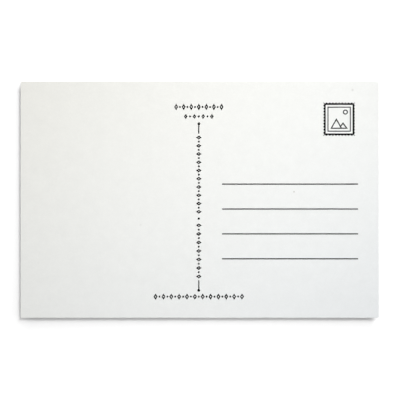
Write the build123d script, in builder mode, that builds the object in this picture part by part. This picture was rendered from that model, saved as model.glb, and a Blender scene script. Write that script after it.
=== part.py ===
from build123d import *
import os

# A picture postcard trimmed from a 6 x 4 inch sheet, lying picture side down.
# It is a lay-up of thin sheets, bonded face to face, with black ink films on top:
# gloss film, picture print, picture ply, core ply and writing ply, from the bottom up.
# X runs along the long edge, Y towards the top edge and Z out of the writing side.
# The origin is the centre of the picture face, on which the card rests.
# All sizes are millimetres.

# Card outline: square guillotined sides, corners blunted by handling
CARD_LENGTH = 149.2
CARD_HEIGHT = 98.4
CORNER_RADIUS = 0.6
RIM_ROLL = 0.03  # the blade rolls the writing side's rim over by this much

# Sheet thicknesses, from the picture face up
GLOSS_FILM = 0.02
PICTURE_PRINT = 0.01
PICTURE_PLY = 0.09
CORE_PLY = 0.20
WRITING_PLY = 0.09

# Black ink on the writing side
INK_FILM = 0.02

# Address rules, set out from the right and bottom edges
RULE_COUNT = 4
RULE_LENGTH = 56.65
RULE_WIDTH = 0.46
RULE_PITCH = 10.37
RULE_RIGHT_MARGIN = 8.67
RULE_FOOT_MARGIN = 24.6

# Rows of open lozenges and beads above, along and below the divider
LOZENGE_STROKE = 0.46
BEAD_DIAMETER = 0.8
BEAD_CLEARANCE = 0.36  # least space on each side of a bead, which sets how many fit in a run
HEADING_MARGIN = 9.15
HEADING_UPPER_RUN = 20.5
HEADING_UPPER_HEIGHT = 2.8
HEADING_UPPER_LOZENGE = 1.6
HEADING_ROW_GAP = 1.5
HEADING_LOWER_RUN = 12.4
HEADING_LOWER_HEIGHT = 2.1
HEADING_LOWER_LOZENGE = 1.5
FOOTER_MARGIN = 7.6
FOOTER_RUN = 37.7
FOOTER_HEIGHT = 2.5
FOOTER_LOZENGE = 1.7

# Divider between message and address: two stubs that end in dots, two chains, one bullet
DIVIDER_OFFSET = -0.4  # left of the card's middle, where the trim put it
STUB_LENGTH = 4.15
STUB_WIDTH = 0.48
STUB_DOT = 1.15
STUB_TO_HEADING = 1.4
STUB_TO_FOOTER = 0.8
CHAIN_WIDTH = 2.3
CHAIN_LOZENGE = 1.6
CHAIN_TO_STUB = 0.8
BULLET_DIAMETER = 0.95
BULLET_DROP = 7.85  # below the card's middle
CHAIN_TO_BULLET = 1.55

# Stamp mark: perforated border, keyline, and a view of two peaks under the sun
STAMP_WIDTH = 13.1
STAMP_HEIGHT = 13.8
STAMP_RIGHT_MARGIN = 10.0
STAMP_TOP_MARGIN = 8.75
STAMP_BORDER = 0.95
PERFORATION_RADIUS = 0.34
PERFORATION_PITCH = 1.25
KEYLINE_GAP = 0.75
KEYLINE_WIDTH = 0.4
VIEW_MARGIN = 0.8
VIEW_STROKE = 0.45
PEAK_WIDTH = 5.0
PEAK_RISE = 4.4
FOOTHILL_OVERLAP = 1.8  # how far it runs in behind the peak
FOOTHILL_RISE = 2.7
SUN_DIAMETER = 2.1

# Heights and edges that follow from the sizes above
SHEETS = {
    "gloss_film": GLOSS_FILM,
    "picture_print": PICTURE_PRINT,
    "picture_ply": PICTURE_PLY,
    "core_ply": CORE_PLY,
    "writing_ply": WRITING_PLY,
}
BOARD_TOP = sum(SHEETS.values())
RIGHT_EDGE = CARD_LENGTH / 2
TOP_EDGE = CARD_HEIGHT / 2


def ink_plane(x, y, along=(1, 0, 0)):
    """Plane on the writing side at x, y, whose own x axis runs along the mark."""
    return Plane(origin=(x, y, BOARD_TOP), x_dir=along, z_dir=(0, 0, 1))


def outline(stroke, corners):
    """Band of the given width, just inside the polygon through the corners."""
    with BuildSketch() as band:
        Polygon(*corners, align=None)
        offset(amount=-stroke, kind=Kind.INTERSECTION, mode=Mode.SUBTRACT)
    return band.sketch


def save(piece, label):
    """Names a finished piece and writes it as a node of its own."""
    piece.part.label = label
    export_step(piece.part, f"parts/{label}.step")


def make_sheet(label, bottom, thickness):
    """One full-size sheet of the lay-up; the topmost one has its rim rolled over."""
    with BuildPart() as ply:
        with BuildSketch(Plane.XY.offset(bottom)):
            RectangleRounded(CARD_LENGTH, CARD_HEIGHT, CORNER_RADIUS)
        extrude(amount=thickness)
        if label == "writing_ply":
            fillet(ply.edges().group_by(Axis.Z)[-1], min(RIM_ROLL, thickness / 2))
    save(ply, label)


def make_address_rule(label, y):
    """One line to write the address on, set in from the right edge."""
    middle = RIGHT_EDGE - RULE_RIGHT_MARGIN - RULE_LENGTH / 2
    with BuildPart() as rule:
        with BuildSketch(ink_plane(middle, y)):
            Rectangle(RULE_LENGTH, RULE_WIDTH)
        extrude(amount=INK_FILM)
    save(rule, label)


def make_ornament_row(label, plane, run, lozenge_length, lozenge_height):
    """Open lozenges from end to end of the run, as many as fit, with a bead in each space."""
    least_pitch = lozenge_length + BEAD_DIAMETER + 2 * BEAD_CLEARANCE
    spaces = int((run - lozenge_length) / least_pitch)
    pitch = (run - lozenge_length) / spaces
    half_length = lozenge_length / 2
    half_height = lozenge_height / 2
    corners = [(half_length, 0), (0, half_height), (-half_length, 0), (0, -half_height)]
    lozenge = outline(LOZENGE_STROKE, corners)
    with BuildPart() as row:
        with BuildSketch(plane):
            with GridLocations(pitch, 0, spaces + 1, 1):
                add(lozenge)
            with GridLocations(pitch, 0, spaces, 1):
                Circle(BEAD_DIAMETER / 2)
        extrude(amount=INK_FILM)
    save(row, label)


def make_divider_stub(label, dot_y, direction):
    """Short line that starts in a round dot and runs up (1) or down (-1) from it."""
    with BuildPart() as stub:
        with BuildSketch(ink_plane(DIVIDER_OFFSET, dot_y, along=(0, direction, 0))):
            Circle(STUB_DOT / 2)
            Rectangle(STUB_LENGTH, STUB_WIDTH, align=(Align.MIN, Align.CENTER))
        extrude(amount=INK_FILM)
    save(stub, label)


def make_bullet(label, y):
    """Round dot between the two chains of the divider."""
    with BuildPart() as dot:
        with BuildSketch(ink_plane(DIVIDER_OFFSET, y)):
            Circle(BULLET_DIAMETER / 2)
        extrude(amount=INK_FILM)
    save(dot, label)


def make_stamp_frame(label, plane):
    """Border whose outer edge has a bite for each perforation, with a tooth at each corner."""
    holes_across = round(STAMP_WIDTH / PERFORATION_PITCH)
    holes_down = round(STAMP_HEIGHT / PERFORATION_PITCH)
    with BuildPart() as border:
        with BuildSketch(plane):
            Rectangle(STAMP_WIDTH, STAMP_HEIGHT)
            with GridLocations(STAMP_WIDTH / holes_across, STAMP_HEIGHT, holes_across, 2):
                Circle(PERFORATION_RADIUS, mode=Mode.SUBTRACT)
            with GridLocations(STAMP_WIDTH, STAMP_HEIGHT / holes_down, 2, holes_down):
                Circle(PERFORATION_RADIUS, mode=Mode.SUBTRACT)
            Rectangle(
                STAMP_WIDTH - 2 * STAMP_BORDER,
                STAMP_HEIGHT - 2 * STAMP_BORDER,
                mode=Mode.SUBTRACT,
            )
        extrude(amount=INK_FILM)
    save(border, label)


def make_stamp_keyline(label, plane, width, height):
    """Thin rectangle inside the border, width by height over its outside."""
    with BuildPart() as keyline:
        with BuildSketch(plane):
            Rectangle(width, height)
            offset(amount=-KEYLINE_WIDTH, kind=Kind.INTERSECTION, mode=Mode.SUBTRACT)
        extrude(amount=INK_FILM)
    save(keyline, label)


def make_stamp_view(label, plane, width, height):
    """Outline of a peak in front of a foothill, and an open sun, filling width by height."""
    foot = -height / 2
    left, right = -width / 2, width / 2
    peak_right = left + PEAK_WIDTH
    foothill_left = peak_right - FOOTHILL_OVERLAP
    peak = [(left, foot), (peak_right, foot), ((left + peak_right) / 2, foot + PEAK_RISE)]
    foothill_top = ((foothill_left + right) / 2, foot + FOOTHILL_RISE)
    foothill = [(foothill_left, foot), (right, foot), foothill_top]
    foothill_band = outline(VIEW_STROKE, foothill)
    peak_band = outline(VIEW_STROKE, peak)
    sun_radius = SUN_DIAMETER / 2
    with BuildPart() as view:
        with BuildSketch(plane):
            add(foothill_band)
            Polygon(*peak, align=None, mode=Mode.SUBTRACT)
            add(peak_band)
            with Locations((right - sun_radius, height / 2 - sun_radius)):
                Circle(sun_radius)
                Circle(sun_radius - VIEW_STROKE, mode=Mode.SUBTRACT)
        extrude(amount=INK_FILM)
    save(view, label)


def make_lay_up():
    """Stacks the sheets on one another from the picture face up."""
    bottom = 0.0
    for label, thickness in SHEETS.items():
        make_sheet(label, bottom, thickness)
        bottom += thickness


def make_address():
    """Address rules, numbered from the top one down."""
    lowest = -TOP_EDGE + RULE_FOOT_MARGIN
    for number in range(1, RULE_COUNT + 1):
        make_address_rule(f"address_rule_{number}", lowest + (RULE_COUNT - number) * RULE_PITCH)


def make_divider():
    """Heading, stubs, chains, bullet and footer, each set out from the one before it."""
    upper_row = TOP_EDGE - HEADING_MARGIN - HEADING_UPPER_HEIGHT / 2
    lower_row = upper_row - (HEADING_UPPER_HEIGHT + HEADING_LOWER_HEIGHT) / 2 - HEADING_ROW_GAP
    footer = -TOP_EDGE + FOOTER_MARGIN + FOOTER_HEIGHT / 2
    rows = {
        "heading_row_upper": (upper_row, HEADING_UPPER_RUN, HEADING_UPPER_LOZENGE, HEADING_UPPER_HEIGHT),
        "heading_row_lower": (lower_row, HEADING_LOWER_RUN, HEADING_LOWER_LOZENGE, HEADING_LOWER_HEIGHT),
        "footer_row": (footer, FOOTER_RUN, FOOTER_LOZENGE, FOOTER_HEIGHT),
    }
    for label, (y, run, lozenge_length, lozenge_height) in rows.items():
        make_ornament_row(label, ink_plane(DIVIDER_OFFSET, y), run, lozenge_length, lozenge_height)

    upper_dot = lower_row - HEADING_LOWER_HEIGHT / 2 - STUB_TO_HEADING - STUB_DOT / 2
    lower_dot = footer + FOOTER_HEIGHT / 2 + STUB_TO_FOOTER + STUB_DOT / 2
    make_divider_stub("divider_stub_upper", upper_dot, -1)
    make_divider_stub("divider_stub_lower", lower_dot, 1)
    make_bullet("divider_bullet", -BULLET_DROP)

    past_stub = STUB_LENGTH + CHAIN_TO_STUB
    past_bullet = BULLET_DIAMETER / 2 + CHAIN_TO_BULLET
    chains = {
        "divider_chain_upper": (-BULLET_DROP + past_bullet, upper_dot - past_stub),
        "divider_chain_lower": (lower_dot + past_stub, -BULLET_DROP - past_bullet),
    }
    for label, (low, high) in chains.items():
        plane = ink_plane(DIVIDER_OFFSET, (low + high) / 2, along=(0, 1, 0))
        make_ornament_row(label, plane, high - low, CHAIN_LOZENGE, CHAIN_WIDTH)


def make_stamp():
    """Stamp mark in the top right corner: border, keyline and view, one inside the other."""
    plane = ink_plane(
        RIGHT_EDGE - STAMP_RIGHT_MARGIN - STAMP_WIDTH / 2,
        TOP_EDGE - STAMP_TOP_MARGIN - STAMP_HEIGHT / 2,
    )
    to_keyline = STAMP_BORDER + KEYLINE_GAP
    to_view = to_keyline + KEYLINE_WIDTH + VIEW_MARGIN
    make_stamp_frame("stamp_frame", plane)
    make_stamp_keyline("stamp_keyline", plane, STAMP_WIDTH - 2 * to_keyline, STAMP_HEIGHT - 2 * to_keyline)
    make_stamp_view("stamp_view", plane, STAMP_WIDTH - 2 * to_view, STAMP_HEIGHT - 2 * to_view)


os.makedirs("parts", exist_ok=True)
make_lay_up()
make_address()
make_divider()
make_stamp()
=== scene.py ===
"""Dresses a picture postcard: board sheets with a cut edge, black print, picture side and white stage."""

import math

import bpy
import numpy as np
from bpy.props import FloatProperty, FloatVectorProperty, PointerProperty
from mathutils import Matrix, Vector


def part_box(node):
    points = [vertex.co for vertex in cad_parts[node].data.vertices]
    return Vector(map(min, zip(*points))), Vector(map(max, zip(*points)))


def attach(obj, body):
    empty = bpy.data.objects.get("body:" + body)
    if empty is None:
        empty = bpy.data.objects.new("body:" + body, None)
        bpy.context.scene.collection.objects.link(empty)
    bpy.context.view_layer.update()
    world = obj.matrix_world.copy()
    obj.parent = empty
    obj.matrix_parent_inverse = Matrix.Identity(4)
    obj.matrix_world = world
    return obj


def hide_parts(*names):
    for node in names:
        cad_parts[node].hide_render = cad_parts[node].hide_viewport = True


bl_info = {
    "name": "Postcard Dresser",
    "version": (1, 0, 0),
    "blender": (4, 5, 0),
    "location": "3D View > Sidebar > Postcard",
    "description": "Board, print, picture side and studio stage of a picture postcard",
    "category": "Object",
}

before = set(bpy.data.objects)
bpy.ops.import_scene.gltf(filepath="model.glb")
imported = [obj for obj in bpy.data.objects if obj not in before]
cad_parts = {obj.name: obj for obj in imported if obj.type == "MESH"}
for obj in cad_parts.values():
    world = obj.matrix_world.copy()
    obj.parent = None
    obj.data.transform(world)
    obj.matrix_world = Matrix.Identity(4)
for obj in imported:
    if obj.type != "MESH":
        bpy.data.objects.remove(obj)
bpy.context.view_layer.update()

# Metres in a millimetre and in a micrometre
MM = 0.001
UM = 0.000001

# Nodes of the lay-up from the picture face up, nodes of the print, and where the sheets lie
SHEET_NODES = ("gloss_film", "picture_print", "picture_ply", "core_ply", "writing_ply")
INK_NODES = tuple(sorted(set(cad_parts) - set(SHEET_NODES)))
SHEET_BOX = {node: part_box(node) for node in SHEET_NODES}
CARD_LOW, CARD_HIGH = SHEET_BOX["writing_ply"]
CARD_LENGTH = CARD_HIGH.x - CARD_LOW.x
CARD_HEIGHT = CARD_HIGH.y - CARD_LOW.y
CARD_TOP = CARD_HIGH.z

# How finely a sheet is divided; a ring that lies further in than the cut is uneven holds the faces flat
ARC_STEPS = 10
SIDE_STEP = 0.8 * MM
FACE_RINGS = 80
PLAIN_RINGS = 4
ROLL_STEPS = 6
EDGE_RINGS = 4
RIM_HOLD = 0.03 * MM
SHARP_ANGLE = math.radians(40)

# Waves that make up the board's waviness
RELIEF_SEED = 11
RELIEF_WAVES = 70
RELIEF_SHORTEST = 3.5 * MM
RELIEF_LONGEST = 16 * MM

# Waves round the outline that make up the unevenness of the cut edge, and each sheet's own seed
CUT_WAVES = 24
CUT_FEWEST_CYCLES = 40
CUT_MOST_CYCLES = 420
CUT_SEEDS = {"gloss_film": 13, "picture_print": 9, "picture_ply": 7, "core_ply": 5, "writing_ply": 3}


def number(name, about, default, **options):
    """A number that a user may change."""
    return FloatProperty(name=name, description=about, default=default, **options)


def length(name, about, default):
    """A length that a user may change, shown to the micrometre."""
    return number(name, about, default, unit="LENGTH", precision=6)


def share(name, about, default):
    """A share from 0 to 1 that a user may change."""
    return number(name, about, default, subtype="FACTOR", min=0.0, max=1.0)


def colour(name, about, default):
    """A colour that a user may change, as linear red, green and blue."""
    return FloatVectorProperty(
        name=name, description=about, default=default, size=3, subtype="COLOR", min=0.0, max=1.0
    )


class PostcardBoard(bpy.types.PropertyGroup):
    """Board and print of the writing side."""

    corner_radius: length("Corner radius", "Blunting of the four corners", 0.6 * MM)
    rim_roll: length("Rim roll", "Radius that the blade leaves on the rim", 0.012 * MM)
    seam: length("Seam", "Glue line between two sheets", 0.002 * MM)
    relief: number("Relief", "Root mean square height of the board's waviness, in micrometres", 2.6)
    cut_depth: number("Cut depth", "Root mean square unevenness of the cut edge, in micrometres", 4.0)
    fibre_depth: number("Fibre depth", "Height of the fibres in the writing side, in micrometres", 3.0)
    # Paper colour at two corners: a painted warm tint of light at the upper left and a painted cool tint of
    # light at the lower right
    painted_warm_light_colour: colour("Paper with painted warm light", "Writing side at its upper left corner", (0.964, 0.959, 0.905))
    painted_cool_light_colour: colour("Paper with painted cool light", "Writing side at its lower right corner", (0.935, 0.959, 0.968))
    mottle: share("Mottle", "Brightness of the paper where its fibres lie thickest", 0.925)
    fleck_colour: colour("Fleck", "Specks of darker fibre", (0.52, 0.51, 0.48))
    # Cut edge colour: partly the raw board's own grey, partly painted shade among the cut fibres
    core_and_cut_shade_colour: colour("Core", "Raw board on the cut edge", (0.68, 0.67, 0.64))
    ink_colour: colour("Ink", "Black print", (0.0020, 0.0020, 0.0022))


class PostcardPicture(bpy.types.PropertyGroup):
    """Colours of the landscape on the picture side."""

    sky_top: colour("Sky", "Sky at the top edge", (0.06, 0.20, 0.46))
    sky_low: colour("Horizon", "Sky above the far range", (0.86, 0.64, 0.40))
    cloud: colour("Cloud", "Streaks of cloud", (0.92, 0.86, 0.80))
    sun_disc: colour("Sun", "Sun and its glow", (1.0, 0.88, 0.60))
    far_range: colour("Far range", "Mountains in the haze", (0.20, 0.27, 0.37))
    snow: colour("Snow", "Snow on the peaks", (0.82, 0.85, 0.90))
    middle_hills: colour("Middle hills", "Wooded hills", (0.06, 0.15, 0.13))
    near_hills: colour("Near hills", "Slopes in front", (0.025, 0.075, 0.035))
    meadow: colour("Meadow", "Grass along the bottom edge", (0.17, 0.23, 0.035))


class PostcardStage(bpy.types.PropertyGroup):
    """Camera, lights and floor."""

    frame_width: length("Frame width", "Width of the picture at the card", 166.61 * MM)
    lens: number("Lens", "Focal length", 85.0, unit="CAMERA")
    key_share: share("Key", "Share of a white sheet's brightness from the low key light", 0.63)
    spot_share: share("Spot", "Share from the soft spot at the centre of its beam", 0.187)
    left_share: share("Left fill", "Share from the fill over the upper left corner", 0.13)
    lower_share: share("Lower fill", "Share from the fill over the lower edge", 0.067)
    world_share: share("Surroundings", "Share from all round", 0.05)
    floor_colour: colour("Floor", "Pale floor", (0.98, 0.98, 0.98))
    floor_lift: share("Floor lift", "White added to the floor beside the card, as the camera sees it", 0.10)


# Mesh helpers


def sheet_outline(radius):
    """Rounded rectangle of the card, anticlockwise, as points and outward unit normals.

    Each corner is a quarter circle about its own centre, and each side joins the end of one quarter
    circle to the start of the next in equal steps.
    """
    signs = np.array([[1, 1], [-1, 1], [-1, -1], [1, -1]])
    centres = signs * (np.array([CARD_LENGTH, CARD_HEIGHT]) / 2 - radius)
    quarter = np.linspace(0, math.pi / 2, ARC_STEPS + 1)
    points, normals = [], []
    for corner in range(4):
        angle = quarter + corner * math.pi / 2
        arc_normal = np.column_stack([np.cos(angle), np.sin(angle)])
        arc = centres[corner] + radius * arc_normal
        next_start = centres[(corner + 1) % 4] + radius * arc_normal[-1]
        steps = max(2, round(np.linalg.norm(next_start - arc[-1]) / SIDE_STEP))
        along = np.linspace(0, 1, steps + 1)[1:-1, None]
        side = arc[-1] * (1 - along) + next_start * along
        points += [arc, side]
        normals += [arc_normal, np.repeat(arc_normal[-1:], len(side), axis=0)]
    return np.concatenate(points), np.concatenate(normals)


def board_relief(x, y, depth):
    """Height of the board's waviness at x, y: plane waves of random direction, length and phase, summed.

    Each wave is the sine of its wave vector times the place plus its phase, the longer the higher, and
    the sum is scaled so that its root mean square is depth.
    """
    draw = np.random.default_rng(RELIEF_SEED)
    lengths = np.exp(draw.uniform(np.log(RELIEF_SHORTEST), np.log(RELIEF_LONGEST), RELIEF_WAVES))
    heading = draw.uniform(0, 2 * math.pi, RELIEF_WAVES)
    phase = draw.uniform(0, 2 * math.pi, RELIEF_WAVES)
    turns = 2 * math.pi / lengths
    across = x[..., None] * (turns * np.cos(heading)) + y[..., None] * (turns * np.sin(heading))
    waves = lengths / RELIEF_LONGEST * np.sin(across + phase)
    size = math.sqrt((lengths**2).sum() / 2) / RELIEF_LONGEST
    return waves.sum(-1) * depth / size


def cut_unevenness(count, seed, depth):
    """How far the cut edge stands proud round the outline: whole cycles of random phase, summed.

    The sum is scaled so that its root mean square is depth.
    """
    draw = np.random.default_rng(seed)
    cycles = np.round(np.geomspace(CUT_FEWEST_CYCLES, CUT_MOST_CYCLES, CUT_WAVES))
    phase = draw.uniform(0, 2 * math.pi, CUT_WAVES)
    turn = np.linspace(0, 2 * math.pi, count, endpoint=False)[:, None]
    return np.sin(turn * cycles + phase).sum(1) * depth / math.sqrt(CUT_WAVES / 2)


def closed_sheet(bottom, top, radius, roll, face_rings, seed, cut_depth):
    """One sheet as a profile carried round the outline, as vertices and the number of points in a ring.

    The profile starts near the centre of the top face, runs out to the rim, over the rolled rim as a
    quarter circle, down the cut edge and back in along the bottom face. Without a roll the rim is sharp.
    A point is the outline point, drawn in by the rim, times its reach, plus its outward step along the
    outline's normal.
    """
    points, normals = sheet_outline(radius)
    rim = roll + RIM_HOLD
    base = points - rim * normals
    reach_top = np.linspace(0, 1, face_rings + 1)[1:]
    arc = np.linspace(0, math.pi / 2, ROLL_STEPS + 1) if roll else np.array([math.pi / 2])
    edge = np.linspace(0, 1, EDGE_RINGS + 1)[1:]
    reach_low = np.linspace(1, 0, PLAIN_RINGS + 1)[:-1]
    reach = np.concatenate([reach_top, np.ones(len(arc) + len(edge)), reach_low])
    rim_steps = RIM_HOLD + roll * np.sin(arc)
    outward = np.concatenate([0 * reach_top, rim_steps, 0 * edge + rim, 0 * reach_low])
    rim_heights = top - roll * (1 - np.cos(arc))
    edge_heights = top - roll + (bottom - top + roll) * edge
    height = np.concatenate([0 * reach_top + top, rim_heights, edge_heights, 0 * reach_low + bottom])
    on_edge = np.concatenate([0 * reach_top, np.sin(arc), 1 + 0 * edge, 0 * reach_low])
    step = outward[:, None] + on_edge[:, None] * cut_unevenness(len(points), seed, cut_depth)
    flat = reach[:, None, None] * base + step[..., None] * normals
    rings = np.concatenate([flat, np.repeat(height[:, None, None], len(points), axis=1)], axis=2)
    poles = np.array([[0, 0, top], [0, 0, bottom]])
    return np.concatenate([rings.reshape(-1, 3), poles]), len(points)


def ring_faces(total, around):
    """Corner numbers of the quads between rings and of the two fans that close the poles."""
    rings = (total - 2) // around
    ring, place = np.meshgrid(np.arange(rings - 1), np.arange(around), indexing="ij")
    after = (place + 1) % around
    quads = np.stack(
        [
            ring * around + place,
            (ring + 1) * around + place,
            (ring + 1) * around + after,
            ring * around + after,
        ],
        axis=-1,
    ).reshape(-1, 4)
    place = np.arange(around)
    after = (place + 1) % around
    last = (rings - 1) * around
    top_fan = np.column_stack([np.full(around, total - 2), place, after])
    low_fan = np.column_stack([np.full(around, total - 1), last + after, last + place])
    return quads, np.concatenate([top_fan, low_fan])


def mesh_object(name, vertices, quads, triangles):
    """New object at the origin whose mesh has the given corners, quads and triangles."""
    mesh = bpy.data.meshes.new(name)
    corners = np.concatenate([quads.ravel(), triangles.ravel()]).astype(np.int32)
    sizes = np.concatenate([np.full(len(quads), 4), np.full(len(triangles), 3)]).astype(np.int32)
    starts = np.concatenate([[0], np.cumsum(sizes)[:-1]]).astype(np.int32)
    mesh.vertices.add(len(vertices))
    mesh.vertices.foreach_set("co", vertices.astype(np.float32).ravel())
    mesh.loops.add(len(corners))
    mesh.loops.foreach_set("vertex_index", corners)
    mesh.polygons.add(len(sizes))
    mesh.polygons.foreach_set("loop_start", starts)
    mesh.polygons.foreach_set("use_smooth", np.ones(len(sizes), bool))
    mesh.update(calc_edges=True)
    if mesh.validate():
        raise RuntimeError(f"the mesh of {name} has faulty faces")
    mesh.set_sharp_from_angle(angle=SHARP_ANGLE)
    made = bpy.data.objects.new(name, mesh)
    bpy.context.scene.collection.objects.link(made)
    return made


def dress_sheet(name, node, material, face_rings=PLAIN_RINGS, roll=0.0, relief=0.0):
    """Makes the sheet that stands for a node of the lay-up, between that node's heights less a seam.

    A relief lifts the whole top face and dies away evenly down the rolled rim.
    """
    board = bpy.context.scene.postcard_board
    low, high = SHEET_BOX[node]
    bottom = low.z
    top = high.z
    if node != SHEET_NODES[-1]:
        top -= board.seam
    vertices, around = closed_sheet(
        bottom, top, board.corner_radius, roll, face_rings, CUT_SEEDS[node], board.cut_depth * UM
    )
    if relief:
        fall = np.clip(1 + (vertices[:, 2] - top) / max(roll, UM), 0, 1)
        vertices[:, 2] += fall * board_relief(vertices[:, 0], vertices[:, 1], relief)
    quads, triangles = ring_faces(len(vertices), around)
    sheet = mesh_object(name, vertices, quads, triangles)
    sheet.data.materials.append(material)
    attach(sheet, "root")
    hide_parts(node)


# Material helpers


def add_node(tree, kind, **settings):
    """New shader node with the given settings."""
    node = tree.nodes.new(kind)
    for key, value in settings.items():
        setattr(node, key, value)
    return node


def feed(tree, socket, value):
    """Gives a socket its value, or links it to another node's output."""
    if isinstance(value, bpy.types.NodeSocket):
        tree.links.new(value, socket)
    else:
        socket.default_value = value


def calculate(tree, operation, *values):
    """Result of a Math node on numbers or outputs."""
    node = add_node(tree, "ShaderNodeMath", operation=operation)
    for socket, value in zip(node.inputs, values):
        feed(tree, socket, value)
    return node.outputs[0]


def combine(tree, operation, *vectors):
    """Vector that a Vector Math node makes of vectors or outputs."""
    node = add_node(tree, "ShaderNodeVectorMath", operation=operation)
    for socket, vector in zip(node.inputs, vectors):
        feed(tree, socket, vector)
    return node.outputs["Vector"]


def measure(tree, operation, first, second):
    """Number that a Vector Math node makes of two vectors or outputs, such as their distance."""
    node = add_node(tree, "ShaderNodeVectorMath", operation=operation)
    feed(tree, node.inputs[0], first)
    feed(tree, node.inputs[1], second)
    return node.outputs["Value"]


def along_and_up(tree, where):
    """A place's first two parts, along the card and up it."""
    node = add_node(tree, "ShaderNodeSeparateXYZ")
    feed(tree, node.inputs[0], where)
    return node.outputs["X"], node.outputs["Y"]


def fade(tree, value, start, end):
    """0 below start, 1 above end, and a smooth step between them."""
    node = add_node(tree, "ShaderNodeMapRange", interpolation_type="SMOOTHSTEP")
    feed(tree, node.inputs["Value"], value)
    feed(tree, node.inputs["From Min"], start)
    feed(tree, node.inputs["From Max"], end)
    return node.outputs["Result"]


def fade_out(tree, value, end, most=1.0):
    """The number most where value is 0, 0 from end on, and a smooth step between them."""
    return calculate(tree, "MULTIPLY_ADD", fade(tree, value, 0.0, end), -most, most)


def blend(tree, factor, first, second):
    """Colour between first and second."""
    node = add_node(tree, "ShaderNodeMix", data_type="RGBA")
    feed(tree, node.inputs[0], factor)
    for socket, value in ((node.inputs[6], first), (node.inputs[7], second)):
        feed(tree, socket, value if isinstance(value, bpy.types.NodeSocket) else (*value, 1.0))
    return node.outputs[2]


def place(tree, scale=(1.0, 1.0, 1.0)):
    """The piece's own coordinates, times scale."""
    coordinates = add_node(tree, "ShaderNodeTexCoord")
    mapping = add_node(tree, "ShaderNodeMapping")
    feed(tree, mapping.inputs["Vector"], coordinates.outputs["Object"])
    feed(tree, mapping.inputs["Scale"], scale)
    return mapping.outputs["Vector"]


def drawn_out(tree, heading, stretch, lift):
    """The piece's own coordinates for a pattern that is drawn out by stretch along a heading in the plane.

    A lift gives a noise another pattern.
    """
    coordinates = add_node(tree, "ShaderNodeTexCoord")
    mapping = add_node(tree, "ShaderNodeMapping", vector_type="TEXTURE")
    feed(tree, mapping.inputs["Vector"], coordinates.outputs["Object"])
    feed(tree, mapping.inputs["Location"], (0.0, 0.0, lift))
    feed(tree, mapping.inputs["Rotation"], (0.0, 0.0, heading))
    feed(tree, mapping.inputs["Scale"], (stretch, 1.0, 1.0))
    return mapping.outputs["Vector"]


# Middle value of a noise, which runs from 0 to 1
NOISE_MIDDLE = 0.5


def noise(tree, where, size, detail=2.0, roughness=0.5):
    """Soft noise with blotches of the given size, in the units of the place."""
    node = add_node(tree, "ShaderNodeTexNoise")
    feed(tree, node.inputs["Vector"], where)
    feed(tree, node.inputs["Scale"], 1 / size)
    feed(tree, node.inputs["Detail"], detail)
    feed(tree, node.inputs["Roughness"], roughness)
    return node.outputs["Fac"]


def new_finish(name, roughness, specular):
    """Material with one Principled shader, as the material, its tree and the shader."""
    material = bpy.data.materials.new(name)
    material.use_nodes = True
    tree = material.node_tree
    shader = tree.nodes["Principled BSDF"]
    shader.inputs["Roughness"].default_value = roughness
    shader.inputs["Specular IOR Level"].default_value = specular
    return material, tree, shader


def raise_bump(tree, shader, height, depth):
    """Bumps the shader's surface by height, a pattern from 0 to 1, times depth in metres."""
    bump = add_node(tree, "ShaderNodeBump")
    feed(tree, bump.inputs["Height"], height)
    feed(tree, bump.inputs["Distance"], depth)
    feed(tree, shader.inputs["Normal"], bump.outputs["Normal"])


# Flecks of the writing side: place along and up the card, half width and strength
FLECKS = (
    (63.65 * MM, 45.7 * MM, 0.80 * MM, 0.38),
    (39.25 * MM, 3.3 * MM, 0.50 * MM, 0.95),
    (-24.7 * MM, -10.5 * MM, 0.80 * MM, 0.18),
)

# Paper: its crossing fibres, the clouds of its formation and its fine tooth
FIBRE_SPACING = 0.8 * MM
FIBRE_STRETCH = 4.0
FIBRE_DETAIL = 1.0
FIBRE_HALF_WIDTH = 0.05
FIBRE_LAYERS = 5
FIBRE_LAYER_LIFT = 20 * MM
FIBRE_SHADE = 0.98
FIBRE_HEIGHT_SHARE = 0.6
FORMATION = 5.0 * MM
FORMATION_DETAIL = 4.0
FORMATION_ROUGHNESS = 0.8
TOOTH = 0.35 * MM

# Raw board on the cut edge: grain, how flat its layers lie, their darkest share and their depth
CORE_GRAIN = 1.2 * MM
CORE_DETAIL = 3.0
CORE_FLATNESS = 40.0
CORE_SHADE = 0.88
CORE_DEPTH = 6 * UM

# Print: size of its mottle, how much lighter it is where the ink lies thin, and its depth
INK_MOTTLE = 0.5 * MM
INK_DETAIL = 3.0
INK_THIN = 2.2
INK_DEPTH = 2 * UM


def fleck_mask(tree, x, y, half_width, strength):
    """The strength of a fleck in its middle at x, y, fading to 0 at its rim."""
    distance = measure(tree, "DISTANCE", place(tree), (x, y, CARD_TOP))
    return fade_out(tree, distance, half_width, strength)


def fibre_mat(tree):
    """1 along the middle of each fibre, fading to 0 beside it.

    In each layer the fibres are the lines where a soft noise, drawn out along the layer's heading,
    crosses its middle value, so they wander and cross those of the other layers.
    """
    mat = 0.0
    for layer in range(FIBRE_LAYERS):
        heading = math.pi * layer / FIBRE_LAYERS
        where = drawn_out(tree, heading, FIBRE_STRETCH, layer * FIBRE_LAYER_LIFT)
        wander = noise(tree, where, FIBRE_SPACING, FIBRE_DETAIL)
        off_middle = calculate(tree, "ABSOLUTE", calculate(tree, "SUBTRACT", wander, NOISE_MIDDLE))
        mat = calculate(tree, "MAXIMUM", mat, fade_out(tree, off_middle, FIBRE_HALF_WIDTH))
    return mat


def painted_light_gradient(tree):
    """0 at the card's upper left corner, 1 at its lower right corner, and even between them: how far the
    painted warm light tint gives way to the painted cool one.

    That is half the place along the card, as a share of its length, less half the place up it, as a
    share of its height, counted from the middle, plus a half.
    """
    along, up = along_and_up(tree, place(tree, (0.5 / CARD_LENGTH, 0.5 / CARD_HEIGHT, 1.0)))
    return calculate(tree, "SUBTRACT", calculate(tree, "ADD", along, 0.5), up)


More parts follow.
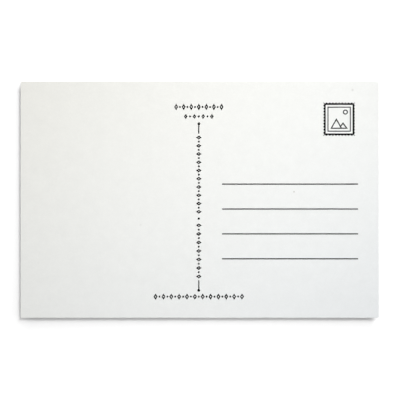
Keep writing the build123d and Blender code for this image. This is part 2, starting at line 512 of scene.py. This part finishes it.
def paper_finish():
    """Uncoated white board: cloudy formation, crossing fibres, fine tooth, a few flecks and a painted
    warm-to-cool tint of the light across it.
    """
    board = bpy.context.scene.postcard_board
    material, tree, shader = new_finish("uncoated_paper", roughness=0.88, specular=0.2)
    clouds = noise(tree, place(tree), FORMATION, FORMATION_DETAIL, FORMATION_ROUGHNESS)
    fibres = fibre_mat(tree)
    tooth = noise(tree, place(tree), TOOTH)
    # Painted light: the paper runs from a painted warm light tint at the upper left to a painted cool one
    # at the lower right
    painted_light_tint = blend(tree, painted_light_gradient(tree), tuple(board.painted_warm_light_colour), tuple(board.painted_cool_light_colour))
    paper = blend(tree, clouds, painted_light_tint, combine(tree, "MULTIPLY", painted_light_tint, (board.mottle,) * 3))
    paper = blend(tree, fibres, paper, combine(tree, "MULTIPLY", paper, (FIBRE_SHADE,) * 3))
    for fleck in FLECKS:
        paper = blend(tree, fleck_mask(tree, *fleck), paper, tuple(board.fleck_colour))
    feed(tree, shader.inputs["Base Color"], paper)
    fibre_height = calculate(tree, "MULTIPLY", fibres, FIBRE_HEIGHT_SHARE)
    tooth_height = calculate(tree, "MULTIPLY", tooth, 1 - FIBRE_HEIGHT_SHARE)
    height = calculate(tree, "ADD", fibre_height, tooth_height)
    raise_bump(tree, shader, height, board.fibre_depth * UM)
    return material


def core_finish():
    """Raw board on the cut edge: warmer and darker than the faces, partly its own grey and partly painted
    shade among the cut fibres, with fine layers along the sheet.
    """
    board = bpy.context.scene.postcard_board
    material, tree, shader = new_finish("board_core", roughness=0.92, specular=0.15)
    layers = noise(tree, place(tree, (1.0, 1.0, CORE_FLATNESS)), CORE_GRAIN, CORE_DETAIL)
    shade = tuple(CORE_SHADE * part for part in board.core_and_cut_shade_colour)
    feed(tree, shader.inputs["Base Color"], blend(tree, layers, tuple(board.core_and_cut_shade_colour), shade))
    raise_bump(tree, shader, layers, CORE_DEPTH)
    return material


def ink_finish():
    """Matt black print: dense, a little mottled, with the grain of the paper showing through."""
    board = bpy.context.scene.postcard_board
    material, tree, shader = new_finish("black_print", roughness=0.6, specular=0.05)
    mottle = noise(tree, place(tree), INK_MOTTLE, INK_DETAIL)
    thin = tuple(INK_THIN * part for part in board.ink_colour)
    feed(tree, shader.inputs["Base Color"], blend(tree, mottle, tuple(board.ink_colour), thin))
    raise_bump(tree, shader, noise(tree, place(tree), TOOTH), INK_DEPTH)
    return material


# The landscape: places as shares of the half height, from -1 at the bottom edge to 1 at the top
SUN_PLACE = (0.36, 0.20, 0.0)
SUN_RADIUS = 0.115
SUN_EDGE = 0.012
GLOW_RADIUS = 0.9
GLOW_SHARE = 0.55
HAZE_START = -0.1
CLOUD_SIZE = 0.5
CLOUD_STRETCH = 5.0
CLOUD_DETAIL = 4.0
CLOUD_START, CLOUD_END = 0.52, 0.78
CLOUD_SHARE = 0.75
SNOW_START, SNOW_END = 0.02, 0.14
SNOW_WANDER = 0.30
PATCH_SIZE = 0.10
PATCH_STRETCH = 0.45
PATCH_DETAIL = 4.0
LIT_SHARE = 1.6
FOOT_SHARE = 0.55
FOOT_DEPTH = 0.45
TREES_ALONG = 26
TREE_SLENDERNESS = 2.6

# Ridges from the far one to the near one: colour, middle height, height of the ups and downs, how many
# of them in a half height along the card, softness of the line and tallest tree
RIDGES = (
    ("far_range", 0.10, 0.66, 2.6, 0.012, 0.0),
    ("middle_hills", -0.16, 0.42, 3.4, 0.010, 0.05),
    ("near_hills", -0.42, 0.40, 1.9, 0.008, 0.13),
    ("meadow", -0.76, 0.26, 1.2, 0.010, 0.0),
)
RIDGE_DETAIL = 5.0
RIDGE_SEED, RIDGE_SEED_STEP = 1.7, 7.3

# Gloss over the picture: the print's own coat, then the film with its colour, ripple and depth
COAT_ROUGHNESS = 0.06
FILM_COLOUR = (0.60, 0.62, 0.65)
FILM_ALPHA = 0.05
FILM_RIPPLE = 2.5 * MM
FILM_DEPTH = 1 * UM


def ridge_line(tree, along, middle, rise, waves, seed):
    """Height of a ridge along the card: noise of the place along it, about a middle height."""
    wander = add_node(tree, "ShaderNodeTexNoise", noise_dimensions="1D")
    feed(tree, wander.inputs["W"], calculate(tree, "MULTIPLY_ADD", along, waves, seed))
    feed(tree, wander.inputs["Scale"], 1.0)
    feed(tree, wander.inputs["Detail"], RIDGE_DETAIL)
    swing = calculate(tree, "SUBTRACT", wander.outputs["Fac"], NOISE_MIDDLE)
    return calculate(tree, "MULTIPLY_ADD", swing, rise, middle)


def tree_line(tree, along, tallest, seed):
    """Height of the conifers along a ridge: a spike over each, of its own random share of tallest."""
    trees = add_node(tree, "ShaderNodeTexVoronoi", voronoi_dimensions="1D")
    feed(tree, trees.inputs["W"], calculate(tree, "MULTIPLY_ADD", along, TREES_ALONG, seed))
    feed(tree, trees.inputs["Scale"], 1.0)
    spike = calculate(tree, "MULTIPLY_ADD", trees.outputs["Distance"], -TREE_SLENDERNESS, 1.0)
    height = calculate(tree, "MULTIPLY", trees.outputs["Color"], tallest)
    return calculate(tree, "MULTIPLY", calculate(tree, "MAXIMUM", spike, 0.0), height)


def sky_view(tree, where, up):
    """Sky that deepens upwards, with streaks of cloud and a low sun in its glow."""
    picture = bpy.context.scene.postcard_picture
    sun_colour = tuple(picture.sun_disc)
    sky = blend(tree, fade(tree, up, HAZE_START, 1.0), tuple(picture.sky_low), tuple(picture.sky_top))
    drawn_wide = combine(tree, "MULTIPLY", where, (1.0, CLOUD_STRETCH, 1.0))
    streaks = noise(tree, drawn_wide, CLOUD_SIZE, CLOUD_DETAIL)
    cloud = calculate(tree, "MULTIPLY", fade(tree, streaks, CLOUD_START, CLOUD_END), CLOUD_SHARE)
    sky = blend(tree, cloud, sky, tuple(picture.cloud))
    in_plane = combine(tree, "MULTIPLY", where, (1.0, 1.0, 0.0))
    from_sun = measure(tree, "DISTANCE", in_plane, SUN_PLACE)
    sky = blend(tree, fade_out(tree, from_sun, GLOW_RADIUS, GLOW_SHARE), sky, sun_colour)
    outside = fade(tree, from_sun, SUN_RADIUS - SUN_EDGE, SUN_RADIUS)
    return blend(tree, outside, sun_colour, sky)


def picture_finish():
    """Printed landscape: sky, then four ridges, each in front of the last, with snow and conifers."""
    picture = bpy.context.scene.postcard_picture
    material, tree, shader = new_finish("picture_print", roughness=0.22, specular=0.5)
    shader.inputs["Coat Weight"].default_value = 1.0
    shader.inputs["Coat Roughness"].default_value = COAT_ROUGHNESS
    per_half_height = 2 / CARD_HEIGHT
    where = place(tree, (per_half_height,) * 3)
    along, up = along_and_up(tree, where)
    view = sky_view(tree, where, up)
    drawn_tall = combine(tree, "MULTIPLY", where, (PATCH_STRETCH, 1.0, 1.0))
    patches = noise(tree, drawn_tall, PATCH_SIZE, PATCH_DETAIL)
    wander = calculate(tree, "SUBTRACT", patches, NOISE_MIDDLE)
    snow_height = calculate(tree, "MULTIPLY_ADD", wander, SNOW_WANDER, up)
    snow = fade(tree, snow_height, SNOW_START, SNOW_END)
    for order, (name, middle, rise, waves, softness, tallest) in enumerate(RIDGES):
        seed = RIDGE_SEED + RIDGE_SEED_STEP * order
        ridge = ridge_line(tree, along, middle, rise, waves, seed)
        if tallest:
            ridge = calculate(tree, "ADD", ridge, tree_line(tree, along, tallest, seed))
        depth = calculate(tree, "SUBTRACT", ridge, up)
        ground = tuple(getattr(picture, name))
        lit = tuple(min(1.0, LIT_SHARE * part) for part in ground)
        foot = tuple(FOOT_SHARE * part for part in ground)
        slope = blend(tree, fade(tree, depth, 0.0, FOOT_DEPTH), blend(tree, patches, ground, lit), foot)
        slope = blend(tree, snow, slope, tuple(picture.snow))
        view = blend(tree, fade(tree, depth, 0.0, softness), view, slope)
    feed(tree, shader.inputs["Base Color"], view)
    return material


def film_finish():
    """Clear gloss film: it lets the picture through and adds a faint sheen."""
    material, tree, shader = new_finish("clear_gloss", roughness=0.05, specular=0.5)
    shader.inputs["Base Color"].default_value = (*FILM_COLOUR, 1.0)
    shader.inputs["Alpha"].default_value = FILM_ALPHA
    raise_bump(tree, shader, noise(tree, place(tree), FILM_RIPPLE), FILM_DEPTH)
    return material


# Where each light hangs: bearing and cone in degrees, distance and size in metres
KEY_PLACE = {"azimuth": 33, "elevation": 13, "distance": 2.0, "width": 1.0, "height": 0.64}
FILL_SIZE = {"elevation": 62, "distance": 0.5, "width": 0.25, "height": 0.25}
LEFT_PLACE = {"azimuth": -51, **FILL_SIZE}
LOWER_PLACE = {"azimuth": 165, **FILL_SIZE}
SPOT_AIM = Vector((18 * MM, 18 * MM, 0))
SPOT_PLACE = {"azimuth": 36, "elevation": 52, "distance": 0.9, "aim": SPOT_AIM, "cone": 14.5}
SPOT_RADIUS = 0.05

# Floor: half its width in metres, and how far below the card it lies
FLOOR_HALF = 4.0
FLOOR_DROP = 0.01 * MM

# Lines round the card's shadow past which the floor turns white: direction from the card, where the change
# starts and how wide it is; then the share of the lit floor that white takes the place of
WHITE_LINES = (
    ((1.0, 0.0, 0.0), 70.2 * MM, 4.4 * MM),
    ((0.0, 1.0, 0.0), 45.0 * MM, 3.9 * MM),
    ((-1.0, 0.0, 0.0), 70.8 * MM, 17.4 * MM),
    ((0.0, -1.0, 0.0), 48.0 * MM, 14.0 * MM),
    ((-1.0, -1.0, 0.0), 82.7 * MM, 15.1 * MM),
)
WHITE_SHARE = 0.85

# The photograph's width in pixels, how far its middle lies from the card's, right and down, and how near
# the camera still sees
IMAGE_PIXELS = 400
AIM_RIGHT = 0.22
AIM_DOWN = 0.30
CLIP_START = 10 * MM


# Stage helpers


def bearing(azimuth, elevation):
    """Unit vector from the card, from degrees clockwise from its top edge and degrees above its face."""
    turn, rise = math.radians(azimuth), math.radians(elevation)
    return Vector((math.sin(turn) * math.cos(rise), math.cos(turn) * math.cos(rise), math.sin(rise)))


def hang_light(name, kind, azimuth, elevation, distance, aim):
    """New white light that hangs at a bearing from its aim, faces it and isn't seen by the camera."""
    lamp = bpy.data.lights.new(name, kind)
    holder = bpy.data.objects.new(name, lamp)
    back = bearing(azimuth, elevation)
    holder.location = aim + back * distance
    holder.rotation_euler = back.to_track_quat("Z", "Y").to_euler()
    holder.visible_camera = False
    bpy.context.scene.collection.objects.link(holder)
    return lamp


def hang_softbox(name, brightness, azimuth, elevation, distance, width, height):
    """Rectangular soft light that gives a white sheet at the origin its share of brightness.

    A softbox of power P at distance r, seen at an elevation e, gives a white sheet the brightness
    P sin(e) / (pi r)^2, so its power is brightness (pi r)^2 / sin(e).
    """
    lamp = hang_light(name, "AREA", azimuth, elevation, distance, Vector())
    lamp.shape = "RECTANGLE"
    lamp.size, lamp.size_y = width, height
    lamp.energy = brightness * (math.pi * distance) ** 2 / math.sin(math.radians(elevation))


def hang_spot(name, brightness, azimuth, elevation, distance, aim, cone):
    """Soft spot whose beam fades from its middle to its rim.

    A spot of power P at distance r, seen at an elevation e, gives a white sheet the brightness
    P sin(e) / (2 pi r)^2 in the middle of its beam.
    """
    lamp = hang_light(name, "SPOT", azimuth, elevation, distance, aim)
    lamp.spot_size = math.radians(cone)
    lamp.spot_blend = 1.0
    lamp.shadow_soft_size = SPOT_RADIUS
    lamp.energy = brightness * (2 * math.pi * distance) ** 2 / math.sin(math.radians(elevation))


def seen_ray(tree):
    """1 for rays from the camera, from a gloss or through glass, and 0 for light that falls on things."""
    path = add_node(tree, "ShaderNodeLightPath")
    gloss = calculate(tree, "MAXIMUM", path.outputs["Is Glossy Ray"], path.outputs["Is Transmission Ray"])
    return calculate(tree, "MAXIMUM", path.outputs["Is Camera Ray"], gloss)


def floor_finish():
    """Pale floor, lifted a little as the camera sees it, and white away from the card's shadow.

    White grows from 0 on a line to 1 past its width, as a smooth step, and the greatest of the five counts.
    It takes the place of most of the lit floor, as bright as a full white.
    """
    stage = bpy.context.scene.postcard_stage
    material, tree, shader = new_finish("pale_floor", roughness=0.9, specular=0.0)
    seen = seen_ray(tree)
    shader.inputs["Base Color"].default_value = (*stage.floor_colour, 1.0)
    shader.inputs["Emission Color"].default_value = (1.0, 1.0, 1.0, 1.0)
    feed(tree, shader.inputs["Emission Strength"], calculate(tree, "MULTIPLY", seen, stage.floor_lift))
    white = 0.0
    for direction, start, width in WHITE_LINES:
        reach = measure(tree, "DOT_PRODUCT", place(tree), Vector(direction).normalized())
        white = calculate(tree, "MAXIMUM", white, fade(tree, reach, start, start + width))
    bare_white = add_node(tree, "ShaderNodeEmission")
    feed(tree, bare_white.inputs["Strength"], 1 / WHITE_SHARE)
    mix = add_node(tree, "ShaderNodeMixShader")
    most = calculate(tree, "MULTIPLY", seen, WHITE_SHARE)
    feed(tree, mix.inputs["Fac"], calculate(tree, "MULTIPLY", white, most))
    feed(tree, mix.inputs[1], shader.outputs["BSDF"])
    feed(tree, mix.inputs[2], bare_white.outputs["Emission"])
    feed(tree, tree.nodes["Material Output"].inputs["Surface"], mix.outputs["Shader"])
    return material


def lay_floor():
    """Square floor just below the card."""
    corners = np.array([[-1, -1, 0], [1, -1, 0], [1, 1, 0], [-1, 1, 0]]) * FLOOR_HALF
    corners[:, 2] = -FLOOR_DROP
    floor = mesh_object("pale_floor", corners, np.array([[0, 1, 2, 3]]), np.zeros((0, 3), int))
    floor.data.materials.append(floor_finish())


def white_surroundings():
    """World that is white to look at and lights the card softly from all round."""
    stage = bpy.context.scene.postcard_stage
    world = bpy.data.worlds.new("white_studio")
    world.use_nodes = True
    tree = world.node_tree
    background = tree.nodes["Background"]
    background.inputs["Color"].default_value = (1.0, 1.0, 1.0, 1.0)
    seen = seen_ray(tree)
    dimmed = calculate(tree, "MULTIPLY", calculate(tree, "SUBTRACT", 1.0, seen), stage.world_share)
    feed(tree, background.inputs["Strength"], calculate(tree, "ADD", seen, dimmed))
    bpy.context.scene.world = world


def hang_camera():
    """Camera straight above the card, so high that its picture is as wide as the frame at the card."""
    stage = bpy.context.scene.postcard_stage
    optics = bpy.data.cameras.new("overhead")
    optics.lens = stage.lens
    optics.clip_start = CLIP_START
    camera = bpy.data.objects.new("overhead", optics)
    distance = stage.frame_width * stage.lens / optics.sensor_width
    pixel = stage.frame_width / IMAGE_PIXELS
    camera.location = (AIM_RIGHT * pixel, -AIM_DOWN * pixel, CARD_TOP + distance)
    bpy.context.scene.collection.objects.link(camera)
    bpy.context.scene.camera = camera


# Operators


class POSTCARD_OT_writing_sheet(bpy.types.Operator):
    """Make the writing side's ply, with its waviness, rolled rim and paper finish"""

    bl_idname = "postcard.writing_sheet"
    bl_label = "Writing Sheet"

    def execute(self, context):
        board = context.scene.postcard_board
        dress_sheet(
            "writing_sheet",
            "writing_ply",
            paper_finish(),
            face_rings=FACE_RINGS,
            roll=board.rim_roll,
            relief=board.relief * UM,
        )
        return {"FINISHED"}


class POSTCARD_OT_board_sheets(bpy.types.Operator):
    """Make the core and the picture side's ply, which show on the cut edge"""

    bl_idname = "postcard.board_sheets"
    bl_label = "Board Sheets"

    def execute(self, context):
        finish = core_finish()
        dress_sheet("core_sheet", "core_ply", finish)
        dress_sheet("picture_sheet", "picture_ply", finish)
        return {"FINISHED"}


class POSTCARD_OT_picture_side(bpy.types.Operator):
    """Make the printed picture and the clear gloss film over it"""

    bl_idname = "postcard.picture_side"
    bl_label = "Picture Side"

    def execute(self, context):
        dress_sheet("landscape_print", "picture_print", picture_finish())
        dress_sheet("clear_film", "gloss_film", film_finish())
        return {"FINISHED"}


class POSTCARD_OT_black_print(bpy.types.Operator):
    """Give the rules, divider, ornaments and stamp mark their black print"""

    bl_idname = "postcard.black_print"
    bl_label = "Black Print"

    def execute(self, context):
        ink = ink_finish()
        for node in INK_NODES:
            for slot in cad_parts[node].material_slots:
                slot.material = ink
        return {"FINISHED"}


class POSTCARD_OT_stage(bpy.types.Operator):
    """Make the surroundings, the floor, the lights and the camera straight above the card"""

    bl_idname = "postcard.stage"
    bl_label = "Stage"

    def execute(self, context):
        stage = context.scene.postcard_stage
        context.scene.view_settings.view_transform = "Standard"
        white_surroundings()
        lay_floor()
        hang_softbox("key", stage.key_share, **KEY_PLACE)
        hang_softbox("left_fill", stage.left_share, **LEFT_PLACE)
        hang_softbox("lower_fill", stage.lower_share, **LOWER_PLACE)
        hang_spot("soft_spot", stage.spot_share, **SPOT_PLACE)
        hang_camera()
        return {"FINISHED"}


class POSTCARD_PT_panel(bpy.types.Panel):
    """Lists the postcard's settings and pieces in the sidebar"""

    bl_label = "Postcard"
    bl_idname = "POSTCARD_PT_panel"
    bl_space_type = "VIEW_3D"
    bl_region_type = "UI"
    bl_category = "Postcard"

    def draw(self, context):
        for group in SETTINGS:
            settings = getattr(context.scene, group)
            column = self.layout.column()
            for name in settings.__annotations__:
                column.prop(settings, name)
        for operator in OPERATORS:
            self.layout.operator(operator.bl_idname)


SETTINGS = {
    "postcard_board": PostcardBoard,
    "postcard_picture": PostcardPicture,
    "postcard_stage": PostcardStage,
}
OPERATORS = (
    POSTCARD_OT_writing_sheet,
    POSTCARD_OT_board_sheets,
    POSTCARD_OT_picture_side,
    POSTCARD_OT_black_print,
    POSTCARD_OT_stage,
)
CLASSES = (*SETTINGS.values(), *OPERATORS, POSTCARD_PT_panel)


def register():
    """Adds the classes to Blender and the settings to its scenes."""
    for cls in CLASSES:
        bpy.utils.register_class(cls)
    for name, group in SETTINGS.items():
        setattr(bpy.types.Scene, name, PointerProperty(type=group))


def unregister():
    """Takes the settings and the classes away again."""
    for name in SETTINGS:
        delattr(bpy.types.Scene, name)
    for cls in reversed(CLASSES):
        bpy.utils.unregister_class(cls)


def main():
    """Registers the classes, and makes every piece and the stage."""
    register()
    bpy.ops.postcard.writing_sheet()
    bpy.ops.postcard.board_sheets()
    bpy.ops.postcard.picture_side()
    bpy.ops.postcard.black_print()
    bpy.ops.postcard.stage()


if __name__ == "__main__":
    main()
